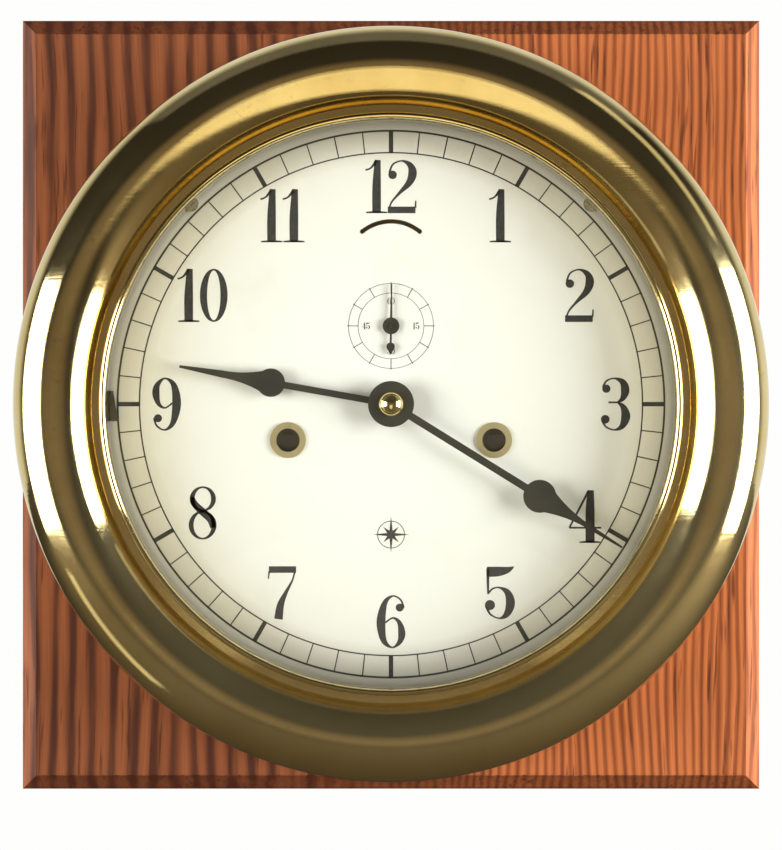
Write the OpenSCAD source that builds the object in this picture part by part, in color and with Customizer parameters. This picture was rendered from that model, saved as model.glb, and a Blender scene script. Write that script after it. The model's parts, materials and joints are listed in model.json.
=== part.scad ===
// A ship's deck clock: a round brass case on a square oak board, a hinged and glazed bezel,
// a silvered dial, and a movement with a going train, a lever escapement and a strike train.
// Everything is drawn in the face frame: X right, Y up, Z from the board's back to the viewer.
// in_place() then stands it up, so that the dial faces -Y and 12 o'clock is towards +Z.

/* [Board] */
// Width of the board
board_w = 291.5; // [240:0.5:340]
// Height of the board
board_h = 304; // [240:0.5:340]
// Thickness of the board
board_t = 20; // [12:1:30]
// Width of the moulded edge
board_edge = 6; // [2:0.5:10]

/* [Case] */
// Radius of the flange that sits on the board
flange_r = 148; // [120:1:170]
// Thickness of the flange
flange_t = 6; // [3:0.5:10]
// Outer radius of the drum
drum_r = 132; // [110:1:150]
// Wall of the drum
drum_t = 3; // [2:0.5:6]
// Height of the drum's front edge over the board's back
drum_top = 72; // [50:1:100]

/* [Bezel] */
// Radius of the crest of the rounded ring
roll_at = 128.7; // [125:0.1:135]
// Radius of the rounded ring's section outside its crest
roll_r = 15.1; // [14:0.1:18]
// Radius of the rounded ring's section inside its crest
inner_roll_r = 18.3; // [17:0.1:20]
// Wall of the rounded ring
roll_t = 2.8; // [1.5:0.1:4]
// Radius of the opening in front of the dial
opening_r = 108; // [90:0.5:120]
// Thickness of the glass
glass_t = 2; // [1.5:0.5:4]

/* [Dial] */
// Height of the dial's face over the board's back
dial_z = 66; // [50:0.5:90]
// Thickness of the dial
dial_t = 1; // [0.5:0.1:2]
// Height of the seconds hand's axis over the centre
seconds_y = 30; // [20:0.5:40]
// Height of the regulator's axis over the centre
regulator_y = 52.7; // [40:0.1:60]
// Radius of the regulator's slot
slot_r = 17.4; // [10:0.1:25]
// Half the sweep of the regulator's slot, in degrees
slot_sweep = 39; // [10:1:60]
// Distance of each winding hole from the middle line
winding_x = 39.5; // [30:0.1:60]
// How far the winding holes lie under the centre
winding_drop = 13.8; // [0:0.1:30]

/* [Hands] */
// Length of the minute hand
minute_length = 103.8; // [60:0.1:106]
// Length of the hour hand
hour_length = 82.2; // [40:0.1:100]
// Length of the seconds hand
seconds_length = 16.1; // [8:0.1:20]
// Minutes shown
minutes_shown = 20.3; // [0:0.1:60]
// Degrees of the hour hand past 12
hour_angle = 280.1; // [0:0.1:360]

/* [Movement] */
// Radius of the two plates
plate_r = 84; // [70:1:95]
// Thickness of a plate
plate_t = 3; // [2:0.5:5]
// Height of the back plate over the board's back
back_z = 28; // [24:1:40]
// Height of the front plate over the board's back
front_z = 55; // [45:1:60]

/* [Hidden] */

$fn = 64;
far = 400;

// Clearances: a running fit, a press seat and the end shake of an arbor
run = 0.05;
seat = 0.02;
shake = 0.3;

// Tooth form: heights in modules, half widths as shares of one tooth's angle
tooth_rise = 0.75;
tooth_fall = 1.15;
tip_half = 0.10;
root_half = 0.27;

// Tooth counts
great_teeth = 90;
centre_leaves = 10;
centre_teeth = 80;
third_leaves = 10;
third_teeth = 75;
fourth_leaves = 10;
fourth_teeth = 80;
escape_leaves = 8;
escape_teeth = 15;
cannon_leaves = 12;
minute_teeth = 36;
minute_leaves = 10;
hour_teeth = 40;
pin_teeth = 72;
strike_leaves = 8;
strike_teeth = 64;
ratchet_teeth = 24;

// Modules
centre_m = 0.6;
third_m = 0.5;
fourth_m = 0.36;
motion_m = 0.55;
pin_m = 0.6;
strike_m = 0.45;

// Places of the axes, seen from the front
centre_at = [0, 0];
seconds_at = [0, seconds_y];
balance_at = [0, regulator_y];
time_at = [winding_x, -winding_drop];
strike_at = [-winding_x, -winding_drop];
great_reach = norm(time_at);
great_m = 2 * great_reach / (great_teeth + centre_leaves);
third_at = meet(centre_at, seconds_at, reach(centre_m, centre_teeth, third_leaves),
    reach(third_m, third_teeth, fourth_leaves), -1);
escape_tip_r = 6;
pallet_reach = escape_tip_r / cos(30);
lever_reach = 9.5;
escape_at = meet(seconds_at, balance_at, reach(fourth_m, fourth_teeth, escape_leaves),
    pallet_reach + lever_reach, 1);
pallet_at = escape_at + pallet_reach * unit(balance_at - escape_at);
minute_at = [0, -reach(motion_m, minute_teeth, cannon_leaves)];
hour_m = 2 * norm(minute_at) / (minute_leaves + hour_teeth);
pin_at = strike_at + great_reach * dir(-45);
strike_third_at = pin_at + reach(pin_m, pin_teeth, strike_leaves) * dir(-20);
fly_at = strike_third_at + reach(strike_m, strike_teeth, strike_leaves) * dir(-60);
hammer_at = [-50, -58];

// Heights of the wheels over the board's back, and their thicknesses
inner_z = back_z + plate_t;
great_z = 33;
great_t = 2.5;
drum_z = great_z + great_t;
drum_h = 10.5;
cap_t = 1.5;
// The strike barrel is turned round, so that its wheel passes in front of the centre pinion
strike_drum_z = great_z + cap_t;
strike_wheel_z = strike_drum_z + drum_h;
wheel_t = 1.2;
fourth_z = 44;
escape_z = 47;
balance_z = 49.4;
centre_z = 49.6;
third_z = 52.2;
spring_z = 52.5;
front_top = front_z + plate_t;
cannon_z = front_top + 0.8;
minute_z = cannon_z + 0.6;
hour_z = minute_z + 2.2;
seconds_z = dial_z + 1;
hour_hand_z = dial_z + 3.5;
minute_hand_z = dial_z + 6.5;
hand_t = 1;

// Radii of the arbors and their pivots
arbor_r = 1.2;
third_r = 0.9;
pivot_r = 0.6;
fine_pivot_r = 0.4;
centre_r = 1.6;
centre_body_r = 2;
winding_r = 3;
winding_pivot_r = 2.5;
seconds_r = 0.8;
pipe_r = 3.4;
cannon_r = 2.4;
minute_seat_r = 2;
fine_arbor_r = 0.8;

// Winding holes
grommet_r = 5.6;
grommet_bore_r = 4.5;

// Barrels and springs
barrel_r = 30;
barrel_wall = 2;
hub_r = 6.5;

// Bezel: the edge of the glass, and heights
glass_r = opening_r + 4.9;
roll_z = 78;
bezel_back = drum_top + 0.3;
web_z = 83.8;
web_t = 1;
lip_w = 2.4;
lip_z = 88.8;
retainer_z = dial_z + 2.5;

// Hinge of the bezel
hinge_x = -137.6;
hinge_z = 69.5;
knuckle_r = 2.4;
pin_r = 1.2;
knuckle_half = 4.8;
leaf_half = 15;

// Fastenings, with the angles that they stand at
screw_r = 1.5;
post_screw_r = 2;
pillar_r = 3.5;
fixing_at = 77;
pillar_angles = [62, 118, 242, 298];
post_angles = [35, 145, 215, 325];
case_screw_at = 118;
case_screw_angles = [45, 135, 225, 315];
dial_screw_at = 108.6;
dial_screw_angles = [45, 135];

// Hanger
hanger_y = 118;
hanger_w = 44;
hanger_h = 24;
hanger_t = 2;
hanger_screw_x = 17;
keyhole_r = 4.5;
keyhole_slot_r = 2.3;
keyhole_drop = 4;
keyhole_rise = 5;

// Gong
gong_at = 96;
gong_r = 1.8;
gong_z = 44;

function dir(a) = [cos(a), sin(a)];
function unit(v) = v / norm(v);
function bearing(p, q) = atan2(q[1] - p[1], q[0] - p[0]);
function reach(m, a, b) = m * (a + b) / 2;

// The point at distance a from p and b from q, left of the line from p to q where side is 1
function meet(p, q, a, b, side) =
    let (d = norm(q - p), u = unit(q - p), along = (a * a - b * b + d * d) / (2 * d))
    p + along * u + side * sqrt(a * a - along * along) * [-u[1], u[0]];

// Turns that bring two gears at p and q into mesh: a tooth of the first meets a gap of the second
function tooth_turn(p, q) = bearing(p, q);
function gap_turn(p, q, teeth) = bearing(p, q) + 180 + 180 / teeth;

// Points down one side of a spiral
function spiral(r0, r1, turns, steps) =
    [for (i = [0 : turns * steps]) (r0 + (r1 - r0) * i / (turns * steps)) * dir(360 * i / steps)];

// Corners of a hand's tapering point, from the bulb's widest place to the tip
function taper(from_y, from_half, to_y, to_half, tip_y, tip_half, steps) =
    concat([for (i = [0 : steps]) let (t = i / steps)
        [to_half + (from_half - to_half) * pow(1 - t, 2.2), from_y + (to_y - from_y) * t]],
        [[tip_half, tip_y]]);

module in_place() {
    rotate([90, 0, 0])
        children();
}

// A rod of radius r between two heights
module rod(r, z0, z1) {
    translate([0, 0, z0])
        cylinder(r = r, h = z1 - z0);
}

// A flat sheet of a 2D outline between two heights
module sheet(z0, z1) {
    translate([0, 0, z0])
        linear_extrude(z1 - z0)
            children();
}

// A 2D bar between two points, with round ends
module bar(p, q, w) {
    translate(p)
        circle(r = w / 2);
    translate(q)
        circle(r = w / 2);
    translate(p)
        rotate(bearing(p, q))
            translate([0, -w / 2])
                square([norm(q - p), w]);
}

// A 2D slot along an arc about the origin, centred on 12 o'clock, its ends drilled a little wider
module arc_slot(r, sweep, w) {
    intersection() {
        difference() {
            circle(r = r + w / 2);
            circle(r = r - w / 2);
        }
        polygon([[0, 0], 2 * r * dir(90 - sweep), 2 * r * dir(90 + sweep)]);
    }
    for (a = [-sweep, sweep])
        translate(r * dir(90 + a))
            circle(r = 0.57 * w);
}

// The 2D outline of a gear with a tooth at 3 o'clock
module gear_outline(m, teeth) {
    step = 360 / teeth;
    root = m * teeth / 2 - tooth_fall * m;
    tip = m * teeth / 2 + tooth_rise * m;
    polygon([for (i = [0 : teeth - 1])
        for (c = [[root, -root_half], [tip, -tip_half], [tip, tip_half], [root, root_half]])
            c[0] * dir(step * (i + c[1]))]);
}

// The windows between a wheel's arms
module crossings(r_in, r_out, arms, w) {
    difference() {
        circle(r = r_out);
        circle(r = r_in);
        for (i = [0 : arms - 1])
            rotate(360 * i / arms)
                translate([0, -w / 2])
                    square([r_out + 1, w]);
    }
}

// A wheel with arms and a bore
module wheel(at, turn, m, teeth, bore, z, t, hub, rim_w = 1.6) {
    rim = m * teeth / 2 - tooth_fall * m - rim_w;
    translate(at)
        sheet(z, z + t)
            difference() {
                rotate(turn)
                    gear_outline(m, teeth);
                circle(r = bore);
                crossings(hub, rim, 5, 1.8);
            }
}

// An arbor between the plates with its two pivots
module arbor(at, r, pivot) {
    translate(at) {
        rod(r, inner_z + shake, front_z - shake);
        rod(pivot, back_z, inner_z + shake);
        rod(pivot, front_z - shake, front_top);
    }
}

// A pinion cut on an arbor
module pinion(at, turn, m, leaves, z0, z1) {
    translate(at)
        rotate(turn)
            sheet(z0, z1)
                gear_outline(m, leaves);
}

module board() {
    color("sienna")
        difference() {
            intersection() {
                rotate([90, 0, 0])
                    translate([0, 0, -far / 2])
                        linear_extrude(far)
                            board_section(board_w);
                rotate([90, 0, 90])
                    translate([0, 0, -far / 2])
                        linear_extrude(far)
                            board_section(board_h);
            }
            for (a = case_screw_angles)
                translate(case_screw_at * dir(a))
                    rod(post_screw_r + run, 5, board_t + 1);
            translate([0, hanger_y])
                hanger_pocket();
        }
}

// The board across: a square back, a bevel, then a small fillet round the flat face
module board_section(w) {
    side = w / 2;
    flat = side - board_edge;
    polygon([[-side, 0], [side, 0], [side, board_t - 6], [side - 1, board_t - 5], [flat + 0.4, board_t - 1.2],
        [flat, board_t - 1.2], [flat, board_t], [-flat, board_t], [-flat, board_t - 1.2],
        [-flat - 0.4, board_t - 1.2], [-side + 1, board_t - 5], [-side, board_t - 6]]);
}

module hanger_pocket() {
    sheet(-1, hanger_t)
        square([hanger_w + 0.2, hanger_h + 0.2], center = true);
    sheet(-1, 9)
        bar([0, -keyhole_drop], [0, keyhole_rise], 12);
    for (x = [-hanger_screw_x, hanger_screw_x])
        translate([x, 0])
            rod(screw_r + run, 1, 13);
}

module hanger_plate() {
    color("silver")
        translate([0, hanger_y])
            difference() {
                sheet(0, hanger_t)
                    difference() {
                        square([hanger_w, hanger_h], center = true);
                        translate([0, -keyhole_drop])
                            circle(r = keyhole_r);
                        bar([0, -keyhole_drop], [0, keyhole_rise], 2 * keyhole_slot_r);
                    }
                for (x = [-hanger_screw_x, hanger_screw_x])
                    translate([x, 0]) {
                        rod(screw_r + run, -1, 3);
                        translate([0, 0, -0.01])
                            cylinder(r1 = 3.3, r2 = screw_r + run, h = 1.75);
                    }
            }
}

module hanger_screws() {
    color("gray")
        for (x = [-hanger_screw_x, hanger_screw_x])
            translate([x, hanger_y])
                difference() {
                    union() {
                        rod(screw_r, 1, 12);
                        cylinder(r1 = 3.2, r2 = screw_r, h = 1.7);
                    }
                    translate([-4, -0.4, -1])
                        cube([8, 0.8, 1.8]);
                }
}

module case() {
    color("goldenrod")
        difference() {
            rotate_extrude()
                case_section();
            for (a = case_screw_angles)
                translate(case_screw_at * dir(a))
                    rod(post_screw_r + run, board_t - 1, board_t + 3);
            for (a = post_angles)
                translate(fixing_at * dir(a))
                    rod(post_screw_r + run, board_t - 1, board_t + 3);
            for (a = dial_screw_angles)
                translate(dial_screw_at * dir(a))
                    rod(screw_r + run, drum_top - 12, drum_top);
        }
}

// The case across, from the axis outwards
module case_section() {
    cove_r = 6;
    ledge_r = 103;
    ledge_t = 3;
    flange_z = board_t + flange_t;
    translate([0, board_t])
        square([drum_r - 1, 2]);
    translate([drum_r - drum_t, board_t])
        square([flange_r - flange_t / 2 - drum_r + drum_t, flange_t]);
    translate([flange_r - flange_t / 2, board_t + flange_t / 2])
        circle(r = flange_t / 2);
    difference() {
        translate([drum_r - 1, flange_z - 1])
            square([cove_r + 1, cove_r + 1]);
        translate([drum_r + cove_r, flange_z + cove_r])
            circle(r = cove_r);
    }
    translate([drum_r - drum_t, board_t])
        square([drum_t, drum_top - board_t]);
    translate([ledge_r, dial_z - dial_t - ledge_t])
        square([drum_r - ledge_r - 1, ledge_t]);
}

module case_screws() {
    color("gray")
        for (a = case_screw_angles)
            translate(case_screw_at * dir(a))
                difference() {
                    union() {
                        rod(post_screw_r, 6, board_t + 2);
                        rod(4, board_t + 2, board_t + 4);
                    }
                    translate([-5, -0.5, board_t + 3.2])
                        cube([10, 1, 2]);
                }
}

module bezel() {
    color("gold")
        rotate_extrude()
            bezel_section();
}

// The bezel across: a hollow round, a web over the glass, and a round-topped lip
module bezel_section() {
    difference() {
        roll_section(0, bezel_back);
        roll_section(roll_t, bezel_back - 1);
    }
    translate([opening_r, web_z])
        square([glass_r + 1.5 - opening_r, web_t]);
    translate([opening_r, web_z])
        square([lip_w, lip_z - web_z]);
    translate([opening_r + lip_w / 2, lip_z])
        circle(r = lip_w / 2);
}

// The rounded ring across, drawn in by a wall: a small outer quarter and a wider inner one under one crest
module roll_section(wall, low) {
    crest = roll_z + roll_r;
    inside = glass_r + seat + wall;
    intersection() {
        translate([roll_at, roll_z])
            circle(r = roll_r - wall);
        translate([roll_at, low])
            square([roll_r, crest - low]);
    }
    intersection() {
        translate([roll_at, crest - inner_roll_r])
            circle(r = inner_roll_r - wall);
        translate([inside, low])
            square([roll_at - inside, crest - low]);
    }
}

// The space inside the rounded ring, which the leaf and the tongue are fitted to
module bezel_hollow() {
    rotate_extrude()
        roll_section(roll_t + seat, bezel_back);
}

module glass() {
    color("lightcyan", 0.4)
        rod(glass_r, web_z - glass_t, web_z);
}

module glass_retainer() {
    color("darkgoldenrod")
        rotate_extrude()
            difference() {
                translate([opening_r, retainer_z])
                    square([glass_r - opening_r, web_z - glass_t - retainer_z]);
                translate([opening_r + 2.4, retainer_z - 1])
                    square([3, web_z - glass_t - retainer_z - 2]);
            }
}

module case_hinge_leaf() {
    color("goldenrod")
        difference() {
            union() {
                translate([-drum_r - 4.4, -leaf_half, hinge_z - 13])
                    cube([8, 2 * leaf_half, 13]);
                knuckle(-leaf_half, leaf_half);
            }
            rod(drum_r + seat, 0, far, $fn = 360);
            translate([-drum_r - 9, -knuckle_half - shake, hinge_z - 5])
                cube([9, 2 * (knuckle_half + shake), 10]);
            hinge_bore(pin_r + seat);
        }
}

module bezel_hinge_leaf() {
    color("gold")
        difference() {
            union() {
                knuckle(-knuckle_half, knuckle_half);
                translate([hinge_x - 0.2, -knuckle_half, hinge_z])
                    cube([2.4, 2 * knuckle_half, 4.4]);
                intersection() {
                    translate([hinge_x - 5, -11, hinge_z + 3.8])
                        cube([25, 22, 1.8]);
                    bezel_hollow();
                }
            }
            hinge_bore(pin_r + run);
        }
}

module knuckle(y0, y1) {
    translate([hinge_x, y1, hinge_z])
        rotate([90, 0, 0])
            cylinder(r = knuckle_r, h = y1 - y0);
}

module hinge_bore(r) {
    translate([hinge_x, far / 2, hinge_z])
        rotate([90, 0, 0])
            cylinder(r = r, h = far);
}

module hinge_pin() {
    color("silver")
        translate([hinge_x, leaf_half + 1, hinge_z])
            rotate([90, 0, 0]) {
                cylinder(r = pin_r, h = 2 * leaf_half + 2);
                cylinder(r = pin_r + 0.7, h = 0.9);
            }
}

module catch_tongue() {
    color("gold") {
        intersection() {
            translate([roll_at - roll_r, -8, roll_z - 3.6])
                cube([2 * roll_r, 16, 1.8]);
            bezel_hollow();
        }
        translate([drum_r + 0.4, -6, drum_top - 10])
            cube([1.6, 12, roll_z - 2.2 - drum_top + 10]);
    }
}

module dial() {
    color("ivory")
        sheet(dial_z - dial_t, dial_z)
            difference() {
                circle(r = opening_r + 9);
                circle(r = pipe_r + 1.1);
                translate(seconds_at)
                    circle(r = seconds_r + 0.5);
                for (at = [time_at, strike_at])
                    translate(at)
                        circle(r = grommet_r + run);
                translate(balance_at)
                    arc_slot(slot_r, slot_sweep, 1.7);
                for (a = dial_screw_angles)
                    translate(dial_screw_at * dir(a))
                        circle(r = screw_r + run);
            }
}

module dial_screws() {
    color("silver")
        for (a = dial_screw_angles)
            translate(dial_screw_at * dir(a))
                difference() {
                    union() {
                        rod(screw_r, dial_z - 4, dial_z + 0.5);
                        rod(3.1, dial_z, dial_z + 1.1);
                    }
                    translate([-4, -0.35, dial_z + 0.6])
                        cube([8, 0.7, 1]);
                }
}

module dial_edge_piece() {
    color("dimgray")
        sheet(dial_z, dial_z + 2)
            polygon([[-opening_r + 0.4, 5], [-opening_r + 1.6, 5], [-opening_r + 3.4, -6.5], [-opening_r + 0.4, -6.5]]);
}

module winding_grommets() {
    color("gold")
        for (at = [time_at, strike_at])
            translate(at)
                difference() {
                    union() {
                        rod(grommet_r, dial_z - 3, dial_z);
                        rod(grommet_r + 1.3, dial_z, dial_z + 0.8);
                    }
                    rod(grommet_bore_r, dial_z - 4, dial_z + 2);
                }
}

// A spade hand pointing to 12: hub, shaft, round bulb, and a point that tapers to the tip
module spade(length, hub, shaft_w, bulb_y, bulb_w, waist_y, waist_w, tip_w) {
    circle(r = hub);
    translate([-shaft_w / 2, 0])
        square([shaft_w, bulb_y]);
    translate([0, bulb_y])
        circle(r = bulb_w / 2);
    side = taper(bulb_y, bulb_w / 2, waist_y, waist_w / 2, length, tip_w / 2, 8);
    polygon(concat(side, [for (i = [len(side) - 1 : -1 : 0]) [-side[i][0], side[i][1]]]));
}

module hour_hand() {
    color("darkslategray")
        sheet(hour_hand_z, hour_hand_z + hand_t)
            difference() {
                rotate(-hour_angle)
                    spade(hour_length, 8, 2.6, 46.7, 10.9, 66.2, 2.7, 1);
                circle(r = pipe_r + seat);
            }
}

module minute_hand() {
    color("darkslategray")
        sheet(minute_hand_z, minute_hand_z + hand_t)
            difference() {
                rotate(-6 * minutes_shown)
                    spade(minute_length, 8.8, 2.9, 66.8, 12.6, 91.6, 1.6, 0.8);
                circle(r = minute_seat_r + seat);
            }
}

module seconds_hand() {
    tail = 11;
    drop_r = 1.6;
    drop_at = -8;
    stem = 0.4;
    cone = 1.3;
    point = 0.2;
    color("black")
        translate(seconds_at)
            sheet(seconds_z, seconds_z + 0.6)
                rotate(-1)
                    difference() {
                        union() {
                            circle(r = 3.2);
                            polygon([[-0.5, 1], [0.5, 1], [0.2, seconds_length], [-0.2, seconds_length]]);
                            polygon([
                                [-stem, -1], [-stem, drop_at + 1], [-cone, drop_at - 0.7], [-point, -tail],
                                [point, -tail], [cone, drop_at - 0.7], [stem, drop_at + 1], [stem, -1]]);
                            translate([0, drop_at])
                                circle(r = drop_r);
                        }
                        circle(r = seconds_r + seat);
                    }
}

module hand_nut() {
    nut_r = 4.6;
    base = minute_hand_z + hand_t;
    color("gold")
        difference() {
            union() {
                rod(nut_r, base, base + 1);
                rotate_extrude()
                    intersection() {
                        translate([0, base - 2])
                            circle(r = 5.5);
                        translate([0, base + 1])
                            square([nut_r, 4]);
                    }
            }
            rod(1.2 + seat, base - 1, base + 2.5);
        }
}

module pillar_holes(z) {
    for (a = pillar_angles)
        translate(fixing_at * dir(a))
            rod(screw_r + run, z - 1, z + plate_t + 1);
}

module pivot_holes(z, list) {
    for (p = list)
        translate(p[0])
            rod(p[1] + run, z - 1, z + plate_t + 1);
}

module front_plate() {
    color("khaki")
        difference() {
            union() {
                rod(plate_r, front_z, front_top);
                translate(balance_at)
                    rod(3, front_top, front_top + 1.4);
                translate(minute_at)
                    rod(1.5, front_top, hour_z + 1.4);
            }
            pillar_holes(front_z);
            pivot_holes(front_z, [[centre_at, centre_r], [time_at, winding_r],
                [strike_at, winding_r], [third_at, pivot_r], [seconds_at, seconds_r],
                [escape_at, fine_pivot_r], [pallet_at, fine_pivot_r], [balance_at, fine_pivot_r],
                [pin_at, pivot_r], [strike_third_at, pivot_r], [fly_at, pivot_r],
                [hammer_at, pivot_r]]);
            translate(balance_at)
                rotate(90 - slot_sweep - 51)
                    sheet(front_z - 1, front_top + 1)
                        arc_slot(7, slot_sweep + 3, 1.2);
        }
}

module back_plate() {
    color("khaki")
        difference() {
            rod(plate_r, back_z, inner_z);
            pillar_holes(back_z);
            for (a = post_angles)
                translate(fixing_at * dir(a))
                    rod(post_screw_r + run, back_z - 1, inner_z + 1);
            pivot_holes(back_z, [[centre_at, pivot_r], [time_at, winding_pivot_r],
                [strike_at, winding_pivot_r], [third_at, pivot_r], [seconds_at, pivot_r],
                [escape_at, fine_pivot_r], [pallet_at, fine_pivot_r], [pin_at, pivot_r],
                [strike_third_at, pivot_r], [fly_at, pivot_r], [hammer_at, pivot_r]]);
        }
}

module plate_pillars() {
    color("khaki")
        for (a = pillar_angles)
            translate(fixing_at * dir(a))
                difference() {
                    rod(pillar_r, inner_z, front_z);
                    rod(screw_r + run, inner_z - 1, inner_z + 7);
                    rod(screw_r + run, front_z - 7, front_z + 1);
                }
}

module plate_screws() {
    color("steelblue")
        for (a = pillar_angles)
            translate(fixing_at * dir(a)) {
                rod(screw_r, inner_z - plate_t - 0.5, inner_z + 6);
                rod(3, back_z - 1.5, back_z);
                rod(screw_r, front_z - 6, front_top + 0.5);
                rod(3, front_top, front_top + 1.5);
            }
}

module movement_posts() {
    color("khaki")
        for (a = post_angles)
            translate(fixing_at * dir(a)) {
                rod(post_screw_r, board_t + 0.2, inner_z + 1);
                rod(4, board_t + 2, back_z);
                rod(3.6, inner_z, inner_z + 1.6);
            }
}

// A barrel with the great wheel cut on its floor
module barrel(at, turn, wheel_z, low) {
    translate(at) {
        sheet(wheel_z, wheel_z + great_t)
            difference() {
                rotate(turn)
                    gear_outline(great_m, great_teeth);
                circle(r = winding_r + run);
            }
        sheet(low, low + drum_h)
            difference() {
                circle(r = barrel_r);
                circle(r = barrel_r - barrel_wall);
            }
    }
}

module barrel_cap(at, low) {
    translate(at)
        sheet(low, low + cap_t)
            difference() {
                circle(r = barrel_r);
                circle(r = winding_r + run);
            }
}

module mainspring(at, low) {
    thick = 0.8;
    inner = spiral(hub_r + 0.4, barrel_r - barrel_wall - 0.4 - thick, 6, 16);
    outer = [for (p = inner) p + thick * unit(p)];
    last = len(inner) - 1;
    translate(at)
        sheet(low + 0.4, low + drum_h - 0.4)
            polygon(concat(inner, [for (i = [last : -1 : 0]) outer[i]]));
}

// A barrel's arbor: pivot, hub for the spring, journal, and a square for the key
module winding_arbor(at, low) {
    square_end = dial_z - 3;
    translate(at) {
        rod(winding_pivot_r, back_z, inner_z + shake);
        rod(winding_r, inner_z + shake, front_top + 2.6);
        rod(hub_r, low + 0.4, low + drum_h - 0.4);
        sheet(front_top + 2.6, square_end)
            square(4.4, center = true);
    }
}

module ratchet(at) {
    r = 12;
    step = 360 / ratchet_teeth;
    translate(at)
        sheet(front_top + 0.4, front_top + 2.2)
            difference() {
                polygon([for (i = [0 : ratchet_teeth - 1])
                    for (c = [[r - 1.6, 0], [r, 0.12]])
                        c[0] * dir(step * (i + c[1]))]);
                circle(r = winding_r + seat);
            }
}

module time_barrel() {
    color("gold")
        barrel(time_at, tooth_turn(time_at, centre_at), great_z, drum_z);
}

module time_barrel_cap() {
    color("khaki")
        barrel_cap(time_at, drum_z + drum_h);
}

module time_mainspring() {
    color("steelblue")
        mainspring(time_at, drum_z);
}

module time_winding_arbor() {
    color("silver")
        winding_arbor(time_at, drum_z);
}

module time_ratchet() {
    color("silver")
        ratchet(time_at);
}

module strike_barrel() {
    color("gold")
        barrel(strike_at, tooth_turn(strike_at, pin_at), strike_wheel_z, strike_drum_z);
}

module strike_barrel_cap() {
    color("khaki")
        barrel_cap(strike_at, great_z);
}

module strike_mainspring() {
    color("steelblue")
        mainspring(strike_at, strike_drum_z);
}

module strike_winding_arbor() {
    color("silver")
        winding_arbor(strike_at, strike_drum_z);
}

module strike_ratchet() {
    color("silver")
        ratchet(strike_at);
}

// The clicks stand just clear of the ratchets' tips, on a stud under each barrel
module clicks() {
    color("silver")
        for (at = [time_at, strike_at])
            translate(at) {
                sheet(front_top + 0.4, front_top + 2.2)
                    polygon([[-1.8, -17.5], [1.8, -17.5], [1.8, -14.5], [-0.4, -12.3], [-1.8, -14.5]]);
                translate([0, -16])
                    rod(1.2, front_top, front_top + 3);
            }
}

module centre_arbor() {
    color("silver") {
        rod(centre_body_r, inner_z + shake, front_z - shake);
        rod(pivot_r, back_z, inner_z + shake);
        rod(centre_r, front_z - shake, minute_hand_z + hand_t);
        rod(1.2, minute_hand_z + hand_t, minute_hand_z + hand_t + 2.4);
        pinion(centre_at, gap_turn(time_at, centre_at, centre_leaves), great_m, centre_leaves,
            great_z - 0.8, great_z + great_t + 0.8);
    }
}

module centre_wheel() {
    color("gold")
        wheel(centre_at, tooth_turn(centre_at, third_at), centre_m, centre_teeth,
            centre_body_r + seat, centre_z, wheel_t, 5);
}

module third_arbor() {
    color("silver") {
        arbor(third_at, third_r, pivot_r);
        pinion(third_at, gap_turn(centre_at, third_at, third_leaves), centre_m, third_leaves,
            centre_z - 0.6, centre_z + wheel_t + 0.4);
    }
}

module third_wheel() {
    color("gold")
        wheel(third_at, tooth_turn(third_at, seconds_at), third_m, third_teeth, third_r + seat,
            third_z, wheel_t, 4);
}

module fourth_arbor() {
    color("silver") {
        translate(seconds_at) {
            rod(arbor_r, inner_z + shake, front_z - shake);
            rod(pivot_r, back_z, inner_z + shake);
            rod(seconds_r, front_z - shake, seconds_z + 1);
        }
        pinion(seconds_at, gap_turn(third_at, seconds_at, fourth_leaves), third_m, fourth_leaves,
            third_z - 0.4, third_z + wheel_t + 0.6);
    }
}

module fourth_wheel() {
    color("gold")
        wheel(seconds_at, tooth_turn(seconds_at, escape_at), fourth_m, fourth_teeth,
            arbor_r + seat, fourth_z, 1, 3.4);
}

module escape_arbor() {
    color("silver") {
        arbor(escape_at, fine_arbor_r, fine_pivot_r);
        pinion(escape_at, gap_turn(seconds_at, escape_at, escape_leaves), fourth_m, escape_leaves,
            fourth_z - 0.4, fourth_z + 1.4);
    }
}

module escape_wheel() {
    step = 360 / escape_teeth;
    root = escape_tip_r - 1.5;
    color("gold")
        translate(escape_at)
            sheet(escape_z, escape_z + 0.7)
                difference() {
                    polygon([for (i = [0 : escape_teeth - 1])
                        for (c = [[root, 0], [escape_tip_r, 0.36], [escape_tip_r, 0.46], [root, 0.3]])
                            c[0] * dir(step * (i + c[1]))]);
                    circle(r = fine_arbor_r + seat);
                    crossings(1.8, root - 0.9, 4, 0.8);
                }
}

// The pallet lever: two arms that embrace the escape wheel, and a fork towards the balance
module pallet_lever() {
    stone = [pallet_reach - 6.9 * cos(30), 6.9 * sin(30)];
    color("silver") {
        arbor(pallet_at, 0.5, fine_pivot_r);
        translate(pallet_at)
            rotate(bearing(pallet_at, balance_at))
                sheet(escape_z, escape_z + 0.7)
                    difference() {
                        union() {
                            circle(r = 0.8);
                            for (side = [-1, 1])
                                bar([0, 0], [-stone[0], side * stone[1]], 0.7);
                            bar([0, 0], [lever_reach - 2.6, 0], 0.8);
                            translate([lever_reach - 3.4, -1])
                                square([1.4, 2]);
                        }
                        translate([lever_reach - 2.8, -0.35])
                            square([2, 0.7]);
                    }
    }
}

module balance_wheel() {
    rim_r = 8;
    color("gold")
        translate(balance_at)
            sheet(balance_z, balance_z + 1.4)
                difference() {
                    circle(r = rim_r);
                    crossings(1.6, rim_r - 1.3, 2, 1.2);
                    circle(r = 0.6 + seat);
                }
}

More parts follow.
